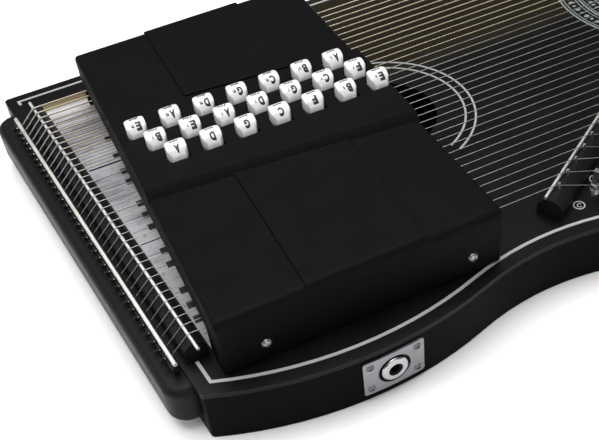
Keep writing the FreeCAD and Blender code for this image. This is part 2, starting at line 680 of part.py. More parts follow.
def make_combs():
    make_comb("bass_bar_comb", "dim.bass_comb_y", "dim.bass_comb_y - dim.foot_width")
    make_comb("treble_bar_comb", "dim.treble_comb_y", "dim.treble_comb_y + dim.comb_thickness")
    bass_mid = size("bass_comb_y") + size("comb_thickness") / 2
    treble_mid = size("treble_comb_y") + size("comb_thickness") / 2
    coil_low = size("slot_floor_z") + size("spring_wire") + 0.02
    rise = size("bar_low_z") - size("slot_floor_z") - 2 * size("spring_wire") - 0.04
    steps = int(size("spring_turns")) * SPRING_STEPS
    coil = kinked_rod([arc_point(Vector(0, 0, rise * step / steps), size("spring_radius"), step * 360 / SPRING_STEPS)
                       for step in range(steps + 1)], size("spring_wire"))
    springs = []
    for index in range(len(CHORDS)):
        for side, y_place in (("bass", bass_mid), ("treble", treble_mid)):
            copy = coil.copy()
            copy.translate(Vector(bar_x(index), y_place, coil_low))
            springs.append(fixed(f"spring_{side}_{index + 1:02d}", copy))
    grouped_node("bar_springs", springs)
    foot_top = TOP + size("foot_height")
    screw = dome_screw(size("screw_radius"), size("foot_height") + size("panel_thickness"), 3, 1.6)
    foot_middle = size("foot_width") / 2
    places = [(x_place, y_place)
              for x_place in (size("comb_left_x") + 14, size("comb_screw_x"), size("comb_right_x") - 14)
              for y_place in (size("bass_comb_y") - foot_middle,
                              size("treble_comb_y") + size("comb_thickness") + foot_middle)]
    grouped_node("comb_screws", [fixed(f"comb_screw_{number}", turned(screw, UP, Vector(x_place, y_place, foot_top)))
                                 for number, (x_place, y_place) in enumerate(places, 1)])


# ---------------------------------------------------------------- covers

def cover_blank(y_outer, sign):
    """Outside of one cover: a low tray with a raised middle, both folded down at the outer end."""
    fold = size("cover_fold")
    y_inner = 0
    low_y, high_y = sorted((y_outer, y_inner))

    def folded(left, right, top_z, side_fold):
        slab = Part.makeBox(right - left, high_y - low_y, top_z - size("cover_foot_z"),
                            Vector(left, low_y, size("cover_foot_z")))
        ends = [edge for edge in slab.Edges
                if abs(edge.CenterOfMass.z - top_z) < 0.01 and abs(edge.CenterOfMass.y - y_outer) < 0.01]
        slab = slab.makeFillet(fold, ends)
        sides = [edge for edge in slab.Edges
                 if abs(edge.BoundBox.ZMin - top_z) < 0.01 and edge.BoundBox.XLength < 0.01]
        return slab.makeFillet(side_fold, sides)

    tray = folded(size("cover_left_x"), size("cover_right_x"), size("cover_top_z"), 3)
    middle = folded(size("raised_left_x"), size("raised_right_x"), size("raised_top_z"), 1)
    wall = size("cover_wall")
    inside = Part.makeBox(size("cover_right_x") - size("cover_left_x") - 2 * wall, high_y - low_y,
                          size("cover_top_z") - wall - size("cover_foot_z") + 1,
                          Vector(size("cover_left_x") + wall, low_y + sign * wall, size("cover_foot_z") - 1))
    return tray.fuse(middle).removeSplitter().cut(inside)


def panel_prism(low_z, half_width, name):
    """Space under the slanted button panel, as a tall prism from one side of the covers to the other."""
    left, right = size("cover_left_x") - 1, size("cover_right_x") + 1
    corners = [Vector(x_place, panel_mid_y(x_place) + side * half_width, low_z)
               for x_place, side in ((left, -1), (right, -1), (right, 1), (left, 1))]
    return fixed(name, polygon_face(corners).extrude(UP * 60))


def make_cover(label, y_outer, sign, leg_y):
    blank = fixed(label + "_blank", cover_blank(size(y_outer), sign))
    passage = box(label + "_passage",
                  ("dim.cover_right_x - dim.cover_left_x + 2", f"abs({leg_y})", "dim.cover_side_z - dim.cover_foot_z + 1"),
                  ("dim.cover_left_x - 1", f"min(0; {leg_y})", "dim.cover_foot_z - 1"))
    opened = cut(label + "_opened", blank, passage)
    reach = size("panel_half_width") + size("panel_slope") + 0.2
    node(cut(label + "_trimmed", opened, panel_prism(size("cover_foot_z") - 2, reach, label + "_gap")), label)


def panel_section(x_place, low_z, inset):
    """Cross-section of the button panel's outside, drawn in by inset."""
    middle = panel_mid_y(x_place)
    half = size("panel_half_width")
    top, edge_z = size("panel_top_z") - inset, size("cover_top_z") - 0.5
    flat, full = half - inset, half + size("panel_slope") - inset
    knee = Vector(x_place, 0, 0)

    def at(offset, height):
        return knee + Vector(0, middle + offset, height)

    bow = 0.35 * size("panel_slope")
    edges = [
        Part.LineSegment(at(-full, low_z), at(-full, edge_z - inset)).toShape(),
        Part.Arc(at(-full, edge_z - inset), at(-flat - bow, (top + edge_z - inset) / 2 + 1), at(-flat, top)).toShape(),
        Part.LineSegment(at(-flat, top), at(flat, top)).toShape(),
        Part.Arc(at(flat, top), at(flat + bow, (top + edge_z - inset) / 2 + 1), at(full, edge_z - inset)).toShape(),
        Part.LineSegment(at(full, edge_z - inset), at(full, low_z)).toShape(),
        Part.LineSegment(at(full, low_z), at(-full, low_z)).toShape(),
    ]
    return Part.Face(Part.Wire(edges))


def make_button_panel():
    """Slanted strip between the covers, with a window for each button and an end wall each side."""
    left, right, wall = size("cover_left_x"), size("cover_right_x"), size("panel_wall")
    run = Vector(right - left, panel_mid_y(right) - panel_mid_y(left), 0)
    end_run = run * (wall / (right - left))
    skin = panel_section(left, size("panel_skirt_z"), 0).extrude(run)
    hollow = panel_section(left, size("panel_skirt_z") - 1, wall).extrude(run)
    tray = skin.cut(hollow)
    end_face = panel_section(left, size("cover_side_z"), 0)
    near_end = end_face.extrude(end_run)
    far_end = end_face.copy()
    far_end.translate(run - end_run)
    far_end = far_end.extrude(end_run)
    shell = fixed("button_panel_shell", tray.fuse([near_end, far_end]).removeSplitter())
    windows = [
        box(f"window_{index + 1:02d}",
            ("dim.button_length + 2 * dim.button_clearance", "dim.button_width + 2 * dim.button_clearance", "12"),
            (f"dim.first_bar_x + {index} * dim.bar_pitch - dim.button_length / 2 - dim.button_clearance",
             f"dim.row_mid_y + {1 - index % 3} * dim.row_pitch - dim.button_width / 2 - dim.button_clearance",
             "dim.panel_top_z - 8.5"))
        for index in range(len(CHORDS))
    ]
    node(cut("button_panel_cut", shell, group("windows", windows)), "button_panel")


def make_covers():
    make_cover("bass_cover", "cover_bass_y", -1, "dim.leg_bass_y")
    make_cover("treble_cover", "cover_treble_y", 1, "dim.leg_treble_y")
    make_button_panel()
    screw = dome_screw(size("screw_radius"), 8, size("dome_radius"), size("dome_height"))
    places = [(x_place, y_place, direction)
              for x_place in (size("cover_screw_left_x"), size("cover_screw_right_x"))
              for y_place, direction in ((size("cover_bass_y"), 1), (size("cover_treble_y"), -1))]
    screws = [fixed(f"cover_screw_{number}",
                    turned(screw, Vector(0, direction, 0), Vector(x_place, y_place, size("cover_screw_z"))))
              for number, (x_place, y_place, direction) in enumerate(places, 1)]
    grouped_node("cover_screws", screws)


# ---------------------------------------------------------------- output socket and pickup

def jack_out():
    """Outward normal of the treble side at the socket."""
    across = size("jack_x") - size("bulge_x")
    return Vector(across, -math.sqrt(size("bulge_radius") ** 2 - across ** 2), 0).normalize()


def jack_point():
    bulge = Vector(size("bulge_x"), size("bulge_y"), size("jack_z"))
    return bulge + jack_out() * size("bulge_radius")


def make_jack():
    out, point = jack_out(), jack_point()
    facing = Rotation(Vector(0, -1, 0), out)
    radius, thick = size("bulge_radius"), size("plate_thickness")
    axis_foot = Vector(size("bulge_x"), size("bulge_y"), 0)
    shell = Part.makeCylinder(radius + thick, TOP, axis_foot).cut(Part.makeCylinder(radius, TOP, axis_foot))
    window = Part.makeBox(size("plate_width"), 10, size("plate_height"),
                          Vector(-size("plate_width") / 2, -5, -size("plate_height") / 2))
    window = window.makeFillet(size("plate_corner"), [edge for edge in window.Edges if edge.BoundBox.YLength > 9])
    window.Placement = Placement(point, facing)
    plate = shell.common(window)
    dish, depth, wall = size("dish_radius"), size("dish_depth"), size("dish_wall")
    cup = Part.makeCylinder(dish + wall, depth + wall, point, out * -1)
    recess = Part.makeCylinder(dish, depth + 6, point + out * 6, out * -1)
    sleeve_hole = Part.makeCylinder(size("sleeve_radius") + 0.05, 20, point + out * 6, out * -1)
    plate = plate.fuse(cup).cut(recess).cut(sleeve_hole).removeSplitter()
    screws = []
    screw = dome_screw(1.4, 9, size("plate_screw_radius"), 1.1)
    inset = size("plate_screw_inset")
    for across in (-1, 1):
        for upward in (-1, 1):
            flat = Vector(across * (size("plate_width") / 2 - inset), 0, upward * (size("plate_height") / 2 - inset))
            spot = point + facing.multVec(flat)
            direction = Vector(spot.x - axis_foot.x, spot.y - axis_foot.y, 0).normalize()
            seat = axis_foot + direction * (radius + thick)
            screws.append(turned(screw, direction, lift(seat, spot.z)))
    for shape in screws:
        plate = plate.cut(shape)
    node(fixed("jack_plate_shape", plate), "jack_plate")
    grouped_node("jack_plate_screws", [fixed(f"plate_screw_{number}", shape) for number, shape in enumerate(screws, 1)])

    floor = point - out * depth
    back = floor - out * (wall + 0.05)
    sleeve = Part.makeCylinder(size("sleeve_radius"), size("sleeve_out") + wall + 0.05,
                               floor + out * size("sleeve_out"), out * -1)
    housing = Part.makeCylinder(size("jack_body_radius"), size("jack_length"), back, out * -1)
    bore = Part.makeCylinder(size("socket_radius"), size("jack_length") + size("sleeve_out") - 4,
                             floor + out * size("sleeve_out"), out * -1)
    node(fixed("jack_shape", sleeve.fuse(housing).cut(bore).removeSplitter()), "output_jack")
    nut = Part.makeCylinder(size("nut_radius"), size("nut_thickness"))
    nut = nut.makeFillet(size("nut_round"), [edge for edge in nut.Edges if edge.BoundBox.ZMin > 1])
    nut = nut.cut(Part.makeCylinder(size("sleeve_radius") + 0.05, 10, Vector(0, 0, -1)))
    node(fixed("jack_nut_shape", turned(nut, out, floor + out * 0.02)), "jack_nut")

    disc = cylinder("pickup_disc", "dim.pickup_radius", "dim.pickup_thickness",
                    ("dim.pickup_x", "dim.pickup_y", "dim.body_height - dim.panel_thickness - dim.pickup_thickness"))
    node(disc, "pickup")
    disc_z = CASE_CEILING - size("pickup_thickness")
    lug = back - out * (size("jack_length") + 0.05)
    route = [Vector(size("pickup_x"), size("pickup_y"), disc_z - 0.02),
             Vector(size("pickup_x"), size("pickup_y"), disc_z - 14),
             Vector(size("pickup_x") + 9, size("pickup_y") - 22, 10),
             Vector(lug.x - 8, lug.y + 26, 13),
             lug - out * 12 + Vector(0, 0, 0.5), lug]
    node(fixed("lead_shape", tube(route, size("lead_radius"), 0.45)), "pickup_lead")


# ---------------------------------------------------------------- build and write

def faults():
    """Names of objects that failed, and of sub-parts whose shape can't be used."""
    broken = [thing.Name for thing in doc.Objects if {"Invalid", "Error"} & set(thing.State)]
    unusable = [thing.Label for thing in NODES
                if thing.Shape.isNull() or not thing.Shape.isValid() or not thing.Shape.Solids]
    return broken + unusable


def main():
    outline = make_case()
    make_tail_cap()
    make_bridges()
    make_strings()
    make_pins()
    make_inlays(outline)
    make_scales()
    make_chord_bars()
    make_combs()
    make_covers()
    make_jack()
    doc.recompute()
    problems = faults()
    if problems:
        raise RuntimeError("not built: " + ", ".join(problems))
    os.makedirs("parts", exist_ok=True)
    for thing in NODES:
        thing.Shape.exportStep(f"parts/{thing.Label}.step")
    whole = FreeCAD.BoundBox()
    for thing in NODES:
        whole.add(thing.Shape.BoundBox)
    print(f"{len(NODES)} sub-parts, X {whole.XMin:.2f} to {whole.XMax:.2f}, "
          f"Y {whole.YMin:.2f} to {whole.YMax:.2f}, Z {whole.ZMin:.2f} to {whole.ZMax:.2f}")


main()
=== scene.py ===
"""Looks of a 36-string, 21-chord zither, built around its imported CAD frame."""
import math

import bmesh
import bpy
from mathutils import Matrix, Vector


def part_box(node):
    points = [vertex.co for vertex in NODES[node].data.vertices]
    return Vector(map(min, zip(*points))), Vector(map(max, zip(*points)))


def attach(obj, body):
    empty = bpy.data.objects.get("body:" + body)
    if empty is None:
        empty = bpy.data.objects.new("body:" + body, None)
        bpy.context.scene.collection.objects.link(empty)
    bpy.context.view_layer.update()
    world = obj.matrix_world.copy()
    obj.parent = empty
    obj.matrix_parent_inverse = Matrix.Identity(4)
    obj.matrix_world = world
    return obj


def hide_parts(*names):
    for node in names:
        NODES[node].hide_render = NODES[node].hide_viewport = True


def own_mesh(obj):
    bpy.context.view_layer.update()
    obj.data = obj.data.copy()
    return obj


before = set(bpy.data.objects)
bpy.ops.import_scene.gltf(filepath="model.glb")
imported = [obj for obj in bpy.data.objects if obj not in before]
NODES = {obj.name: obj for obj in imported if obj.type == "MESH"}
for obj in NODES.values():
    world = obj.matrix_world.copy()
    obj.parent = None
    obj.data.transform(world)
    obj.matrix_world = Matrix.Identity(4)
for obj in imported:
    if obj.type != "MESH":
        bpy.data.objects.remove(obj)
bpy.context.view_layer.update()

MM = 0.001
CASE = "case"
CHORD_COUNT = 21
CHORDS = ("E minor", "B 7th", "A major", "A minor", "E 7th", "D major", "D minor",
          "A 7th", "G major", "G minor", "D 7th", "C major", "C minor", "G 7th",
          "F major", "Bb 7th", "C 7th", "Bb major", "Ab major", "F 7th", "Eb major")
SCALE_NOTES = "C C# D Eb E F F# G Ab A Bb B".split()
BASS_NOTES = "F G C D E F F# G A Bb B".split()

PITCH = 7.3 * MM  # from one string to the next
TAIL_END_X = -0.3  # only the tail of a string lies on the far side of this
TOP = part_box("soundboard")[1].z
FIRST_PLAIN_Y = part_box("plain_strings")[1].y
BASS_SCALE_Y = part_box("note_scale")[1].y - PITCH  # the scale carries a painted reflection of the bronze strings beyond this
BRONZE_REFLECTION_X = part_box("button_panel")[1].x - 55 * MM  # the painted reflection of the bronze strings starts under the covers

# the tail bridge falls back along X with Y, and the bronze starts just past its rod
rod_low, rod_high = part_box("tail_bridge_rod")
rod_middle = (rod_low + rod_high) / 2
ROD_THICKNESS = 2 * MM
TAIL_SLANT = (rod_high.x - rod_low.x - ROD_THICKNESS) / (rod_high.y - rod_low.y)
WINDING_START = rod_middle.x + rod_middle.y * TAIL_SLANT + 2.05 * MM
SHADED_RECESS_RADIUS = 10.4 * MM  # of the jack plate's recess, from the middle of the nut; its dark inside is painted shade

ROSETTE_REACH = 80.2 * MM  # outer radius of the inlaid arcs, which pass their lowest X and highest Y
arcs_low, arcs_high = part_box("rosette_inlay")
ROSETTE_CENTRE = Vector((arcs_low.x + ROSETTE_REACH, arcs_high.y - ROSETTE_REACH, TOP))


def string_note(index):
    """Note name of a string, counted from the bass side."""
    if index < len(BASS_NOTES):
        return BASS_NOTES[index]
    return SCALE_NOTES[(index - len(BASS_NOTES)) % 12]


# ---------------------------------------------------------------- materials

class Graph:
    """Node material built around one Principled shader, in object coordinates."""

    def __init__(self, name, base, metallic=0.0, **sockets):
        self.material = bpy.data.materials.new(name)
        self.material.use_nodes = True
        self.tree = self.material.node_tree
        self.tree.nodes.clear()
        self.shader = self.tree.nodes.new("ShaderNodeBsdfPrincipled")
        output = self.tree.nodes.new("ShaderNodeOutputMaterial")
        self.tree.links.new(self.shader.outputs["BSDF"], output.inputs["Surface"])
        self.place = self.tree.nodes.new("ShaderNodeTexCoord").outputs["Object"]
        self.shader.inputs["Base Color"].default_value = (*base, 1)
        self.shader.inputs["Metallic"].default_value = metallic
        for socket, value in sockets.items():
            self.shader.inputs[socket.replace("_", " ")].default_value = value

    def new(self, kind, inputs=None, **settings):
        made = self.tree.nodes.new(kind)
        for key, value in settings.items():
            setattr(made, key, value)
        for key, value in (inputs or {}).items():
            if isinstance(value, bpy.types.NodeSocket):
                self.tree.links.new(value, made.inputs[key])
            else:
                made.inputs[key].default_value = value
        return made

    def spread(self, stretch):
        """Object coordinates in metres, squeezed by stretch along each axis."""
        return self.new("ShaderNodeMapping", {"Vector": self.place, "Scale": stretch}).outputs["Vector"]

    def noise(self, scale, detail=4.0, roughness=0.55, stretch=(1, 1, 1), distortion=0.0):
        return self.new("ShaderNodeTexNoise", {
            "Vector": self.spread(stretch), "Scale": scale, "Detail": detail,
            "Roughness": roughness, "Distortion": distortion}).outputs["Fac"]

    def cells(self, scale):
        return self.new("ShaderNodeTexVoronoi", {
            "Vector": self.spread((1, 1, 1)), "Scale": scale}).outputs["Distance"]

    def waves(self, scale, distortion=0.0):
        return self.new("ShaderNodeTexWave", {"Vector": self.place, "Scale": scale, "Distortion": distortion},
                        bands_direction="X").outputs["Fac"]

    def remap(self, factor, low, high, start=0.3, end=0.7):
        return self.new("ShaderNodeMapRange", {
            "Value": factor, "From Min": start, "From Max": end,
            "To Min": low, "To Max": high}).outputs["Result"]

    def blend(self, factor, first, second):
        made = self.new("ShaderNodeMix", data_type="RGBA")
        for socket, value in ((made.inputs[6], first), (made.inputs[7], second)):
            if isinstance(value, bpy.types.NodeSocket):
                self.tree.links.new(value, socket)
            else:
                socket.default_value = (*value, 1)
        self.tree.links.new(factor, made.inputs[0])
        return made.outputs[2]

    def set(self, socket, value):
        self.tree.links.new(value, self.shader.inputs[socket])

    def bump(self, height, strength, distance_mm):
        """Adds one layer of relief on top of the layers already there."""
        made = self.new("ShaderNodeBump", {
            "Height": height, "Strength": strength, "Distance": distance_mm * MM})
        normal = self.shader.inputs["Normal"]
        if normal.is_linked:
            self.tree.links.new(normal.links[0].from_socket, made.inputs["Normal"])
        self.tree.links.new(made.outputs["Normal"], normal)

    def edges(self, radius_mm, tone, amount):
        """Finds sharp edges from a bevel normal and lightens them towards tone: a painted edge highlight,
        with rubbed wear in patches.
        """
        bevel = self.new("ShaderNodeBevel", {"Radius": radius_mm * MM}, samples=4)
        geometry = self.new("ShaderNodeNewGeometry")
        turn = self.new("ShaderNodeVectorMath", {0: bevel.outputs["Normal"], 1: geometry.outputs["Normal"]},
                        operation="DOT_PRODUCT").outputs["Value"]
        # the edge lightening is a painted highlight, with rubbed wear varying in patches
        wear_and_highlight = self.new("ShaderNodeMath", {0: self.remap(turn, amount, 0, 0.75, 0.99),
                                             1: self.remap(self.noise(180), 0.25, 1)},
                          operation="MULTIPLY", use_clamp=True).outputs["Value"]
        base = self.shader.inputs["Base Color"]
        before = base.links[0].from_socket if base.is_linked else tuple(base.default_value)[:3]
        self.set("Base Color", self.blend(wear_and_highlight, before, tone))


def lacquer(name, sheen, on_top):
    """Satin black lacquer over close-grained wood. The top has lightened edges, a painted highlight with
    rubbed wear, and a painted reflection of the bronze strings on its bass side.
    """
    g = Graph(name, (0.004, 0.004, 0.0045), Specular_IOR_Level=sheen)
    grain = g.noise(60, 6, 0.6, (0.35, 9, 9), 0.4)
    tone = g.blend(grain, (0.0016, 0.0016, 0.0019), (0.0034, 0.0034, 0.0039))
    if on_top:
        axes = g.new("ShaderNodeSeparateXYZ", {0: g.place}).outputs
        # painted reflection of the bronze strings, on the bass side of the top towards the covers
        bronze_reflection = g.blend(grain, (0.007, 0.0058, 0.0025), (0.017, 0.0135, 0.0065))
        bronze_reflection = g.blend(g.remap(axes["X"], 0, 1, BRONZE_REFLECTION_X, BRONZE_REFLECTION_X + 30 * MM), tone, bronze_reflection)
        tone = g.blend(g.remap(axes["Y"], 0, 1, FIRST_PLAIN_Y, FIRST_PLAIN_Y + 2 * PITCH), tone, bronze_reflection)
    g.set("Base Color", tone)
    g.set("Roughness", g.remap(g.noise(35, 5), 0.36, 0.5))
    g.bump(grain, 0.12, 0.12)
    g.bump(g.noise(420, 2), 0.08, 0.1)
    if on_top:
        # lightened edges of the top: painted edge highlight with rubbed wear
        g.edges(0.9, (0.05, 0.05, 0.052), 0.8)
    return g.material


def cover_plastic():
    """Moulded black covers with a fine leather grain and a soft sheen."""
    g = Graph("cover_plastic", (0.0055, 0.0055, 0.006), Specular_IOR_Level=0.04)
    cloud = g.noise(9, 5, 0.6)
    g.set("Base Color", g.blend(cloud, (0.0022, 0.0022, 0.0027), (0.005, 0.005, 0.0058)))
    g.set("Roughness", g.remap(g.noise(60, 6), 0.46, 0.62))
    g.bump(g.cells(900), 0.22, 0.12)
    g.bump(g.noise(2200, 2), 0.15, 0.05)
    # lightened edges: painted edge highlight with rubbed wear
    g.edges(0.8, (0.03, 0.03, 0.032), 0.7)
    return g.material


def black_plastic(name="black_plastic", tone=0.008, rough=(0.34, 0.48)):
    """Smooth black moulding with faint flow marks, and lightened edges that are a painted highlight with
    handling scuffs.
    """
    g = Graph(name, (tone, tone, tone), Specular_IOR_Level=0.08)
    flow = g.noise(25, 5, 0.6, (1, 0.3, 1))
    g.set("Base Color", g.blend(flow, (tone * 0.7,) * 3, (tone * 1.4,) * 3))
    g.set("Roughness", g.remap(g.noise(140, 6, 0.7), *rough))
    g.bump(g.noise(900, 3), 0.1, 0.06)
    # lightened edges: painted edge highlight with rubbed wear
    g.edges(0.6, (0.04, 0.04, 0.042), 0.6)
    return g.material


def bright_metal(name, base, rough, streak=(1, 14, 14), scale=120, depth=0.1):
    """Drawn or brushed metal: fine streaks along one axis, with dull patches."""
    g = Graph(name, base, metallic=1.0)
    lines = g.noise(scale, 8, 0.65, streak)
    dull = tuple(c * 0.72 for c in base)
    g.set("Base Color", g.blend(g.remap(lines, 0, 1), dull, base))
    g.set("Roughness", g.remap(g.noise(70, 5), *rough))
    g.bump(lines, depth, 0.05)
    return g.material


def wound_bronze():
    """Bronze wire wound close round a steel core. The core is bare beyond the tail bridge."""
    g = Graph("wound_bronze", (0.66, 0.5, 0.27), metallic=1.0)
    turns = g.waves(420)
    tarnish = g.noise(14, 5, 0.6)
    winding = g.blend(tarnish, (0.3, 0.25, 0.17), (0.5, 0.44, 0.33))
    axes = g.new("ShaderNodeSeparateXYZ", {0: g.place}).outputs
    slant = g.new("ShaderNodeMath", {0: axes["Y"], 1: TAIL_SLANT}, operation="MULTIPLY").outputs["Value"]
    along = g.new("ShaderNodeMath", {0: axes["X"], 1: slant}, operation="ADD").outputs["Value"]
    wound = g.remap(along, 0, 1, WINDING_START, WINDING_START + 2 * MM)
    g.set("Base Color", g.blend(wound, (0.42, 0.42, 0.42), winding))
    g.set("Roughness", g.remap(tarnish, 0.22, 0.4))
    g.bump(turns, 0.7, 0.12)
    return g.material


def plate_nickel():
    """Brushed plate, with painted shade in the recess round the socket."""
    g = Graph("brushed_nickel", (0.66, 0.66, 0.67), metallic=1.0)
    lines = g.noise(60, 8, 0.65, (1, 6, 40))
    brushed = g.blend(g.remap(lines, 0, 1), (0.2, 0.2, 0.21), (0.33, 0.33, 0.35))
    low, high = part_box("jack_nut")
    reach = g.new("ShaderNodeVectorMath", {0: g.place, 1: (low + high) / 2},
                  operation="DISTANCE").outputs["Value"]
    # painted shade inside the recess round the nut
    outside = g.remap(reach, 0, 1, SHADED_RECESS_RADIUS, SHADED_RECESS_RADIUS + 0.2 * MM)
    g.set("Base Color", g.blend(outside, (0.1, 0.1, 0.1), brushed))
    g.set("Roughness", g.remap(g.noise(70, 5), 0.26, 0.42))
    g.bump(lines, 0.16, 0.05)
    return g.material


def printed(name, low, high, rough=(0.4, 0.55)):
    """Screen-printed or inlaid plastic line with a slightly uneven tone."""
    g = Graph(name, high, Specular_IOR_Level=0.4)
    g.set("Base Color", g.blend(g.noise(220, 5, 0.7), low, high))
    g.set("Roughness", g.remap(g.noise(300, 3), *rough))
    g.bump(g.noise(1500, 2), 0.08, 0.03)
    return g.material


def streaked_scale():
    """White printed scale, grey in streaks along the strings, with a painted reflection of the bronze strings
    at its bass end.
    """
    g = Graph("streaked_scale", (0.4, 0.4, 0.41), Specular_IOR_Level=0.35)
    streaks = g.remap(g.noise(26, 7, 0.7, (0.5, 4, 1)), 0, 1, 0.36, 0.66)
    patches = g.remap(g.noise(18, 5, 0.6), 0, 1, 0.4, 0.62)
    tone = g.blend(patches, g.blend(streaks, (0.13, 0.13, 0.14), (0.4, 0.4, 0.42)), (0.5, 0.5, 0.52))
    across = g.new("ShaderNodeSeparateXYZ", {0: g.place}).outputs["Y"]
    # painted reflection of the bronze strings at the bass end of the scale
    bronze_reflection = g.blend(streaks, (0.04, 0.03, 0.01), (0.2, 0.15, 0.07))
    g.set("Base Color", g.blend(g.remap(across, 0, 1, BASS_SCALE_Y - 6 * MM, BASS_SCALE_Y), tone, bronze_reflection))
    g.set("Roughness", g.remap(patches, 0.25, 0.5, 0, 1))
    g.bump(streaks, 0.2, 0.05)
    return g.material


def button_white():
    """Glossy white moulded button with a slightly uneven tone."""
    g = Graph("button_white", (0.56, 0.56, 0.57), Coat_Weight=0.25, Coat_Roughness=0.08,
              Specular_IOR_Level=0.5, Subsurface_Weight=0.08, Subsurface_Scale=2 * MM)
    g.set("Base Color", g.blend(g.noise(130, 5, 0.6), (0.64, 0.64, 0.65), (0.74, 0.74, 0.75)))
    g.set("Roughness", g.remap(g.noise(260, 5), 0.16, 0.3))
    g.bump(g.noise(500, 2), 0.06, 0.06)
    return g.material


def felt_grey():
    """Pressed wool felt with loose fibres."""
    g = Graph("felt_grey", (0.2, 0.2, 0.21), Sheen_Weight=0.5, Sheen_Roughness=0.4, Specular_IOR_Level=0.1)
    fibres = g.noise(1300, 8, 0.75, (1, 0.4, 1), 1.5)
    g.set("Base Color", g.blend(g.remap(fibres, 0, 1), (0.13, 0.13, 0.14), (0.3, 0.3, 0.31)))
    g.set("Roughness", g.remap(fibres, 0.8, 1))
    g.bump(fibres, 0.6, 0.25)
    return g.material


def bare_spruce():
    """Unfinished spruce with straight growth rings."""
    g = Graph("bare_spruce", (0.55, 0.4, 0.24), Specular_IOR_Level=0.25)
    rings = g.waves(40, 2.5)
    g.set("Base Color", g.blend(rings, (0.42, 0.28, 0.15), (0.66, 0.5, 0.31)))
    g.set("Roughness", g.remap(g.noise(90, 6), 0.6, 0.8))
    g.bump(rings, 0.2, 0.1)
    return g.material


LACQUER = lacquer("black_lacquer", 0.02, on_top=False)
PANEL_LACQUER = lacquer("panel_lacquer", 0.1, on_top=True)
COVER = cover_plastic()
PLASTIC = black_plastic()
DARK_STEEL = black_plastic("blackened_steel", 0.005, (0.4, 0.55))
STEEL = bright_metal("string_steel", (0.4, 0.4, 0.41), (0.3, 0.44))
SCREW_STEEL = bright_metal("screw_steel", (0.17, 0.17, 0.18), (0.22, 0.36))
ROD_STEEL = bright_metal("rod_steel", (0.84, 0.82, 0.77), (0.4, 0.55), (12, 1, 12), 90)
PIN_STEEL = bright_metal("pin_nickel", (0.74, 0.74, 0.75), (0.18, 0.34), (8, 8, 1), 200)
NICKEL = plate_nickel()
NUT_STEEL = bright_metal("nut_nickel", (0.55, 0.55, 0.57), (0.14, 0.26), (6, 6, 6), 150, 0.05)
BRASS = bright_metal("pickup_brass", (0.7, 0.54, 0.28), (0.25, 0.4), (5, 5, 1), 120)
BRONZE = wound_bronze()
WHITE_LINE = printed("white_line", (0.27, 0.28, 0.29), (0.38, 0.39, 0.4))
SILVER_LINE = printed("silver_line", (0.17, 0.2, 0.2), (0.33, 0.37, 0.37), (0.3, 0.42))
KEY_WHITE = streaked_scale()
INK = printed("black_ink", (0.008, 0.008, 0.008), (0.02, 0.02, 0.02), (0.35, 0.5))
GREY_INK = printed("grey_ink", (0.16, 0.16, 0.16), (0.26, 0.26, 0.26))
BUTTON = button_white()
FELT = felt_grey()
SPRUCE = bare_spruce()

NODE_LOOKS = {
    "back_panel": LACQUER, "soundboard": PANEL_LACQUER, "bass_rail": LACQUER, "treble_rail": LACQUER,
    "anchor_rail": LACQUER, "pin_block": LACQUER, "soundboard_braces": SPRUCE,
    "tail_cap": PLASTIC, "string_anchor": PLASTIC, "string_anchor_rod": ROD_STEEL,
    "string_ball_ends": DARK_STEEL, "tail_bridge": PLASTIC, "tail_bridge_rod": ROD_STEEL,
    "pin_bridge": PLASTIC, "pin_bridge_rod": ROD_STEEL, "guide_pins": PIN_STEEL, "tuning_pins": PIN_STEEL,
    "wound_strings": BRONZE, "plain_strings": STEEL,
    "border_inlay": WHITE_LINE, "soundhole_rings": WHITE_LINE, "rosette_inlay": SILVER_LINE,
    "note_scale": KEY_WHITE, "note_labels": WHITE_LINE,
    "bass_bar_comb": PLASTIC, "treble_bar_comb": PLASTIC, "comb_screws": STEEL,
    "bass_cover": COVER, "treble_cover": COVER, "button_panel": COVER, "cover_screws": STEEL,
    "jack_plate": NICKEL, "jack_plate_screws": SCREW_STEEL, "output_jack": DARK_STEEL, "jack_nut": NUT_STEEL,
    "pickup": BRASS, "pickup_lead": PLASTIC,
}
SMOOTH_ANGLE = math.radians(28)

for node_name, look in NODE_LOOKS.items():
    mesh = NODES[node_name].data
    mesh.materials.clear()
    mesh.materials.append(look)


# ---------------------------------------------------------------- mesh helpers

def piece(name, bm, look, body=CASE, stands_for=(), smooth=True):
    """Finished mesh as an object that rides on a body."""
    mesh = bpy.data.meshes.new(name)
    bmesh.ops.recalc_face_normals(bm, faces=bm.faces)
    bm.to_mesh(mesh)
    bm.free()
    mesh.materials.append(look)
    if smooth:
        mesh.shade_smooth()
        mesh.set_sharp_from_angle(angle=SMOOTH_ANGLE)
    made = bpy.data.objects.new(name, mesh)
    bpy.context.scene.collection.objects.link(made)
    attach(made, body)
    if stands_for:
        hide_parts(*stands_for)
    return made


def loft(bm, loops):
    """Solid with a skin over a list of closed point loops of equal length."""
    rings = [[bm.verts.new(point) for point in loop] for loop in loops]
    count = len(rings[0])
    for lower, upper in zip(rings, rings[1:]):
        for i in range(count):
            j = (i + 1) % count
            bm.faces.new((lower[i], lower[j], upper[j], upper[i]))
    bm.faces.new(reversed(rings[0]))
    bm.faces.new(rings[-1])


def rounded_block(bm, low, high, radius):
    """Box with all its edges rounded."""
    low, high = Vector(low), Vector(high)
    made = bmesh.ops.create_cube(bm, size=1, matrix=Matrix.Translation((low + high) / 2)
                                 @ Matrix.Diagonal((*(high - low), 1)))
    edges = {edge for vert in made["verts"] for edge in vert.link_edges}
    bmesh.ops.bevel(bm, geom=list(edges), offset=radius, segments=2, profile=0.5, affect="EDGES")


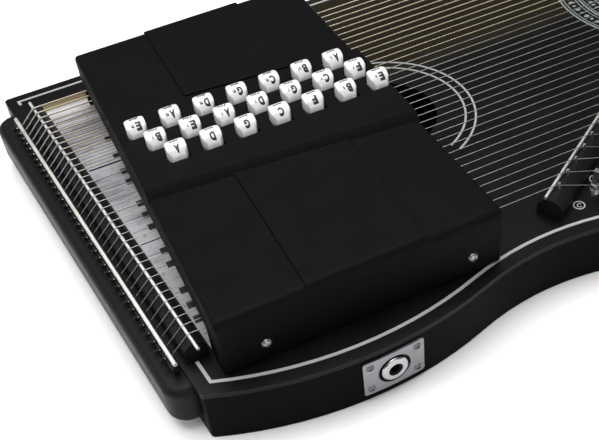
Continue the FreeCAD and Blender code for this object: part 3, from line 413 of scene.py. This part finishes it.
def islands(node):
    """Vertex positions of each separate solid of a CAD node."""
    mesh = NODES[node].data
    parent = list(range(len(mesh.vertices)))

    def root(i):
        while parent[i] != i:
            parent[i] = parent[parent[i]]
            i = parent[i]
        return i

    first_at = {}
    for vert in mesh.vertices:
        key = tuple(round(c * 1e6) for c in vert.co)
        parent[vert.index] = root(first_at.setdefault(key, vert.index))
    for polygon in mesh.polygons:
        corners = list(polygon.vertices)
        for other in corners[1:]:
            parent[root(other)] = root(corners[0])
    groups = {}
    for vert in mesh.vertices:
        groups.setdefault(root(vert.index), []).append(vert.co.copy())
    return list(groups.values())


def extent(points):
    """Lowest and highest corner of the box round some points."""
    low = Vector(min(p[axis] for p in points) for axis in range(3))
    high = Vector(max(p[axis] for p in points) for axis in range(3))
    return low, high


TEXT_SLICE = 0.35 * MM


def flat_text(bm, text, fit, centre, drape, weight=0.012, turn=math.pi, bends=False):
    """Adds lettering of a given width and height. drape gives its height at a point, and cuts let it bend."""
    curve = bpy.data.curves.new("lettering", "FONT")
    curve.body = text
    curve.size = 6 * MM
    curve.resolution_u = 3
    curve.offset = weight * curve.size
    holder = bpy.data.objects.new("lettering", curve)
    mesh = bpy.data.meshes.new_from_object(holder)
    low, high = extent([vert.co for vert in mesh.vertices])
    mesh.transform(Matrix.Translation(centre) @ Matrix.Rotation(turn, 4, "Z")
                   @ Matrix.Diagonal((fit[0] / (high.x - low.x), fit[1] / (high.y - low.y), 1, 1))
                   @ Matrix.Translation((low + high) / -2))
    letters = bmesh.new()
    letters.from_mesh(mesh)
    cuts = int(fit[1] / TEXT_SLICE) if bends else 0
    for step in range(cuts):
        level = centre + Vector((0, (step + 0.5) * TEXT_SLICE - fit[1] / 2, 0))
        bmesh.ops.bisect_plane(letters, geom=[*letters.verts, *letters.edges, *letters.faces],
                               plane_co=level, plane_no=(0, 1, 0))
    for vert in letters.verts:
        vert.co.z = drape(vert.co)
    letters.to_mesh(mesh)
    letters.free()
    bm.from_mesh(mesh)
    bpy.data.objects.remove(holder)
    bpy.data.curves.remove(curve)
    bpy.data.meshes.remove(mesh)


# ---------------------------------------------------------------- chord bars

# the levels of a chord bar, read from its CAD node
bar_levels = sorted({round(vert.co.z, 5) for vert in NODES["chord_bar_01"].data.vertices})
NOTCH_TOP, BAR_FOOT, BAR_TOP, BUTTON_FOOT = bar_levels[1:5]
NEAR = 0.05 * MM  # allowance when picking points by level

# share of the way from back to front, half width in mm, extra drop of the top in mm
BUTTON_STATIONS = (
    (0, 3.4, 1.0), (0.015, 4.4, 0.6), (0.045, 5.2, 0.3), (0.09, 5.9, 0.12), (0.15, 6.35, 0.03),
    (0.25, 6.5, 0), (0.35, 6.55, 0), (0.45, 6.55, 0), (0.55, 6.5, 0), (0.64, 6.4, 0), (0.71, 6.15, 0),
    (0.77, 5.7, 0), (0.82, 5.2, 0), (0.87, 4.8, 0), (0.91, 4.55, 0), (0.945, 4.4, 0), (0.97, 4.35, 0),
    (0.988, 4.3, 0), (1, 4.25, 0))
NOSE_DROP = 8.6 * MM  # from the top of a button to the foot of its curved front
NOSE_START = 0.12  # share of the way at which the front starts to curve
CROWN = 0.12 * MM  # how far the sides of a button's top lie below its middle


def nose(share):
    """How far the curved front has fallen at a share of the way from back to front."""
    reach = min(max((share - NOSE_START) / (1 - NOSE_START), 0), 1)
    return NOSE_DROP * (1 - math.sqrt(1 - reach * reach))


def button_loop(centre_x, y, half, top, foot):
    """Section of a button across the strings, with rounded upper edges and a slight crown."""
    edge = 0.9 * MM
    steps = 4
    points = [Vector((centre_x + half - 0.3 * MM, y, foot)), Vector((centre_x + half, y, foot + 0.5 * MM)),
              Vector((centre_x + half, y, (foot + top) / 2))]
    for step in range(steps + 1):
        angle = math.radians(90 * step / steps)
        points.append(Vector((centre_x + half - edge + edge * math.cos(angle), y,
                              top - CROWN - edge + edge * math.sin(angle))))
    for share in (0.6, 0.2):
        points.append(Vector((centre_x + (half - edge) * share, y, top - CROWN * share ** 2)))
    return points + [Vector((2 * centre_x - p.x, p.y, p.z)) for p in reversed(points)]


def make_button(name, low, high, chord, body, node):
    """Keycap whose top curves over into a narrower front, with its chord name."""
    centre = (low + high) / 2
    length = high.y - low.y
    bm = bmesh.new()
    loops = []
    for share, half, drop in BUTTON_STATIONS:
        top = high.z - 0.01 * MM - nose(share) - drop * MM
        loops.append(button_loop(centre.x, high.y - length * share, half * MM, top, BUTTON_FOOT))
    loft(bm, loops)
    piece(f"button_{name}", bm, BUTTON, body, (node,))

    root_name, kind = chord.split()
    ink = bmesh.new()

    def on_top(point):
        return high.z - nose((high.y - point.y) / length) + 0.05 * MM

    def write(text, width, height, right, back, weight):
        place = centre + Vector((right, back, 0)) * MM
        flat_text(ink, text, (width * MM, height * MM), place, on_top, weight, bends=True)

    suffix = root_name[1:] + {"major": "", "minor": "m", "7th": "7"}[kind]
    suffix_width = 1.1 * len(suffix) + (0.9 if kind == "minor" else 0)
    write(root_name[0], width=3.5, height=4.9, right=1.5 if suffix else 0.3, back=-1.9, weight=0.06)
    if suffix:
        write(suffix, suffix_width, height=1.9, right=-2.1, back=-1.5, weight=0.045)
    write(kind.upper(), width=5.9, height=1.7, right=-0.1, back=3.6, weight=0.05)
    piece(f"letters_{name}", ink, INK, body, smooth=False)


def make_felt(name, points, left, right, body, node):
    """Felt strip with the notches of its own chord."""
    felt_points = [p for p in points if p.z < BAR_FOOT - NEAR]
    foot = min(p.z for p in felt_points)
    ends = min(p.y for p in felt_points), max(p.y for p in felt_points)
    crossings = sorted({round(p.y, 5) for p in felt_points if p.z > foot + 1 * MM})
    bm = bmesh.new()
    edges_y = [ends[0], *crossings, ends[1]]
    rounding = 0.5 * MM
    outline = [(edges_y[0], BAR_FOOT), (edges_y[-1], BAR_FOOT)]
    for start, end in reversed(list(zip(edges_y[::2], edges_y[1::2]))):
        outline += [(end, NOTCH_TOP), (end, foot + rounding), (end - rounding, foot),
                    (start + rounding, foot), (start, foot + rounding), (start, NOTCH_TOP)]
    loops = [[Vector((x, y, z)) for y, z in outline] for x in (left, right)]
    loft(bm, loops)
    bmesh.ops.triangulate(bm, faces=bm.faces)
    piece(f"felt_{name}", bm, FELT, body, (node,))


def make_chord_bar(number):
    """One bar with the post that holds its button, its felt, and the button itself."""
    label = f"{number:02d}"
    node, body = f"chord_bar_{label}", f"chord_bar_body_{label}"
    points = [vert.co.copy() for vert in NODES[node].data.vertices]
    low, high = extent([p for p in points if p.z > BUTTON_FOOT - 2 * NEAR])
    make_button(label, low, high, CHORDS[number - 1], body, node)

    bar_low, bar_high = extent([p for p in points if BAR_FOOT - NEAR < p.z < BAR_TOP + NEAR])
    bar = bmesh.new()
    rounded_block(bar, bar_low, (bar_high.x, bar_high.y, BAR_TOP), 0.7 * MM)
    middle = (low + high) / 2
    half_x, half_y = 2.2 * MM, 4 * MM
    rounded_block(bar, (middle.x - half_x, middle.y - half_y, BAR_TOP - 0.6 * MM),
                  (middle.x + half_x, middle.y + half_y, BUTTON_FOOT + 0.4 * MM), 0.4 * MM)
    piece(f"bar_{label}", bar, PLASTIC, body, (node,))
    make_felt(label, points, bar_low.x, bar_high.x, body, node)


# ---------------------------------------------------------------- print on the top

def plate(bm, corners, low_z, high_z):
    """Thin solid over a flat outline."""
    loft(bm, [[Vector((p[0], p[1], z)) for p in corners] for z in (low_z, high_z)])


def ring_band(bm, centre, radius, width, start, end, low_z, high_z):
    """Thin solid arc of the given centre-line radius, with angles in degrees."""
    steps = max(4, int(abs(end - start) / 2.5))
    angles = [math.radians(start + (end - start) * step / steps) for step in range(steps + 1)]
    outer = [(centre.x + (radius + width / 2) * math.cos(a), centre.y + (radius + width / 2) * math.sin(a))
             for a in angles]
    inner = [(centre.x + (radius - width / 2) * math.cos(a), centre.y + (radius - width / 2) * math.sin(a))
             for a in reversed(angles)]
    plate(bm, outer + inner, low_z, high_z)


def find_strings():
    """Y at the tail, family and points of each string, from the bass side."""
    found = []
    for family in ("wound_strings", "plain_strings"):
        for points in islands(family):
            tail = [p.y for p in points if p.x < TAIL_END_X]
            found.append((sum(tail) / len(tail), family, points))
    return sorted(found, key=lambda line: -line[0])


STRINGS = find_strings()


def make_scale_print():
    """Key lines, raised sharps and note letters on the white scale beside the tail bridge."""
    corners = {tuple(round(c, 6) for c in vert.co[:2]) for vert in NODES["note_scale"].data.vertices}
    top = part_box("note_scale")[1].z
    right = max(x for x, _ in corners)
    (low_x, low_y), (high_x, high_y) = sorted((c for c in corners if c[0] < right - 1e-4), key=lambda c: c[1])
    lines, letters, sharps = bmesh.new(), bmesh.new(), bmesh.new()

    def left_edge(y):
        return low_x + (high_x - low_x) * (y - low_y) / (high_y - low_y)

    def bar(bm, y, left, half, thick):
        near, far = y - half, y + half
        plate(bm, [(left, near), (right, near), (right, far), (left, far)], top, top + thick)

    def letter(name, y):
        place = Vector((right - 9 * MM, y, 0))
        flat_text(letters, name, (1.8 * MM, 2.3 * MM), place, lambda p: top + 0.04 * MM)

    octave = 12 * PITCH
    key = octave / 7
    first_c = STRINGS[11][0] + PITCH + 1.3 * MM
    whites = [first_c - key * step for step in range(16) if first_c - key * step > low_y + 1 * MM]
    bass = [first_c + PITCH * step for step in range(1, 12) if first_c + PITCH * step < high_y - 2 * MM]
    octaves = (first_c + 9 * PITCH, first_c, first_c - octave)
    for y in (*whites, *bass, *octaves):
        bar(lines, y, left_edge(y) + 1 * MM, (0.75 if y in octaves else 0.2) * MM, 0.05 * MM)
    black_keys = [whites[step] for step in range(len(whites)) if step % 7 in (1, 2, 4, 5, 6)]
    for y in black_keys + [STRINGS[6][0], STRINGS[9][0]]:
        bar(sharps, y, right - 4.6 * MM, 2.9 * MM, 0.35 * MM)
    for step, y in enumerate(whites[:11]):
        letter("CDEFGAB"[step % 7], y - key / 2)
    for step, y in enumerate(bass):
        letter("BAGFEDCGF"[step % 9], y - PITCH / 2)
    piece("scale_lines", lines, INK, smooth=False)
    piece("scale_sharps", sharps, INK, smooth=False)
    piece("scale_letters", letters, GREY_INK, smooth=False)


def make_label_letters():
    """A note letter inside each printed ring."""
    bm = bmesh.new()
    rings = sorted((extent(points) for points in islands("note_labels")), key=lambda box: -box[0].y)
    for number, (low, high) in enumerate(rings):
        flat_text(bm, string_note(2 * number + 1)[0], (2.9 * MM, 3.5 * MM), (low + high) / 2,
                  lambda p: TOP + 0.06 * MM, 0.02, turn=-0.5)
    piece("label_letters", bm, WHITE_LINE, smooth=False)


# radius and width of each printed ring, in mm
ROSETTE_RINGS = ((76.9, 0.7), (68.2, 0.6), (63.2, 0.6), (54.5, 0.9), (52.2, 0.5), (30, 0.9), (27.6, 0.5))


def make_rosette():
    """Plain geometric rosette between and inside the two inlaid arcs."""
    bm = bmesh.new()
    face_z = TOP + 0.12 * MM
    start, end = 32, 222  # degrees

    def spoke(angle):
        """Unit vectors along and across a spoke, from its angle in degrees."""
        turn = math.radians(angle)
        return Vector((math.cos(turn), math.sin(turn), 0)), Vector((-math.sin(turn), math.cos(turn), 0))

    def print_shape(points):
        plate(bm, [(p.x, p.y) for p in points], TOP, face_z)

    def diamond(along, across, radius, reach, half):
        middle = ROSETTE_CENTRE + along * radius * MM
        print_shape([middle + along * reach * MM, middle + across * half * MM,
                     middle - along * reach * MM, middle - across * half * MM])

    for radius, width in ROSETTE_RINGS:
        ring_band(bm, ROSETTE_CENTRE, radius * MM, width * MM, start, end, TOP, face_z)
    for step in range(44):
        along, across = spoke(start + 3 + step * 4.28)
        reach, half = (2.6, 1.9) if step % 2 else (1.7, 1.3)
        diamond(along, across, 72.5, reach, half)
        diamond(along, across, 59, 2.4, 1.2)
    for step in range(16):
        along, across = spoke(start + 6 + step * 11.8)
        leaf = []
        for share in (math.tau * corner / 14 for corner in range(14)):
            leaf.append(ROSETTE_CENTRE + along * (41 + 8.5 * math.cos(share)) * MM
                        + across * (3.6 * math.sin(share) * (1 - 0.25 * math.cos(share))) * MM)
        print_shape(leaf)
    piece("rosette_pattern", bm, SILVER_LINE, smooth=False)


# ---------------------------------------------------------------- windings and springs

def tube(bm, points, radius, sides=6):
    """Round wire through a list of points."""
    rings = []
    for i, point in enumerate(points):
        ahead = (points[min(i + 1, len(points) - 1)] - points[max(i - 1, 0)]).normalized()
        side = ahead.cross(Vector((0, 0, 1))).normalized()
        upward = side.cross(ahead)
        rings.append([point + radius * (side * math.cos(a) + upward * math.sin(a))
                      for a in (math.tau * k / sides for k in range(sides))])
    loft(bm, rings)


def helix(centre, reach, start_z, rise, turns, steps, start=0.0, way=1):
    """Points of a coil round a vertical axis. rise is its whole height, and way is 1 or -1."""
    points = []
    for step in range(turns * steps + 1):
        angle = start + way * math.tau * step / steps
        points.append(Vector((centre.x + reach * math.cos(angle), centre.y + reach * math.sin(angle),
                              start_z + rise * step / (turns * steps))))
    return points


def make_windings():
    """Each string's turns round its tuning pin."""
    pin_radius, top_z = 2.5 * MM, 46.5 * MM
    pins = [(low + high) / 2 for low, high in (extent(points) for points in islands("tuning_pins"))]
    coils = {"wound_strings": bmesh.new(), "plain_strings": bmesh.new()}
    for _, family, points in STRINGS:
        end = max(points, key=lambda p: p.x)
        pin = min(pins, key=lambda c: (c - end).to_2d().length)
        wire, turns = (0.5 * MM, 3) if family == "wound_strings" else (0.3 * MM, 5)
        away = (end - pin).to_2d()
        coil = helix(pin, pin_radius + wire, top_z, -2.1 * wire * turns, turns, 14,
                     start=math.atan2(away.y, away.x), way=-1)
        tube(coils[family], coil, wire)
    piece("bronze_windings", coils["wound_strings"], BRONZE)
    piece("steel_windings", coils["plain_strings"], STEEL)


def make_springs():
    """The two coil springs below each chord bar."""
    wire = 0.25 * MM
    foot, head = (corner.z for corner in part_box("bar_springs"))
    height = head - foot
    boxes = [extent(points) for points in islands("bar_springs")]
    middles = [sum(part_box(f"chord_bar_{number:02d}"), Vector()) / 2 for number in range(1, CHORD_COUNT + 1)]
    for number, middle in enumerate(middles, 1):
        bm = bmesh.new()
        for low, high in boxes:
            centre = (low + high) / 2
            if min(middles, key=lambda m: abs(m.x - centre.x)) == middle:
                reach = (high.x - low.x) / 2 - wire
                tube(bm, helix(centre, reach, foot + wire, height - 2 * wire, 5, 16), wire)
        spring = piece(f"springs_{number:02d}", bm, STEEL, stands_for=("bar_springs",))
        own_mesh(spring)


for chord_number in range(1, CHORD_COUNT + 1):
    make_chord_bar(chord_number)
make_scale_print()
make_label_letters()
make_rosette()
make_windings()
make_springs()

# ---------------------------------------------------------------- camera, floor and light

camera_data = bpy.data.cameras.new("camera")
camera_data.lens = 57.95
camera_data.sensor_width = 36
camera_data.clip_start, camera_data.clip_end = 0.02, 20
camera = bpy.data.objects.new("camera", camera_data)
camera.location = (-0.3610, -0.4748, 0.4472)
camera.rotation_euler = [math.radians(turn) for turn in (46.674, 6.111, -24.080)]
bpy.context.scene.collection.objects.link(camera)
bpy.context.scene.camera = camera

floor_look = Graph("pale_floor", (0.93, 0.93, 0.93), Specular_IOR_Level=0.1)
floor_look.set("Roughness", floor_look.remap(floor_look.noise(4, 3), 0.8, 0.95))
floor_bm = bmesh.new()
bmesh.ops.create_grid(floor_bm, x_segments=8, y_segments=8, size=6)
floor_mesh = bpy.data.meshes.new("floor")
floor_bm.to_mesh(floor_mesh)
floor_bm.free()
floor_mesh.materials.append(floor_look.material)
floor = bpy.data.objects.new("floor", floor_mesh)
floor.location.z = -0.0005
bpy.context.scene.collection.objects.link(floor)


def softbox(name, place, size, watts):
    """Square or oblong lamp that faces the middle of the object."""
    data = bpy.data.lights.new(name, "AREA")
    data.shape = "RECTANGLE"
    data.size, data.size_y = size
    data.energy = watts
    lamp = bpy.data.objects.new(name, data)
    lamp.location = place
    lamp.rotation_euler = (-Vector(place)).to_track_quat("-Z", "Y").to_euler()
    bpy.context.scene.collection.objects.link(lamp)


softbox("overhead", (-0.2, 0.35, 2.2), (2.4, 2.4), 84)
softbox("left", (-2.2, 0.6, 1.2), (1.2, 1.2), 14)
softbox("front", (0.0, -2.4, 1.1), (2.4, 1.0), 17)

world = bpy.data.worlds.new("studio")
world.use_nodes = True
sky = world.node_tree.nodes["Background"].inputs
sky["Color"].default_value = (1, 1, 1, 1)
sky["Strength"].default_value = 0.16
bpy.context.scene.world = world
bpy.context.scene.view_settings.view_transform = "Standard"
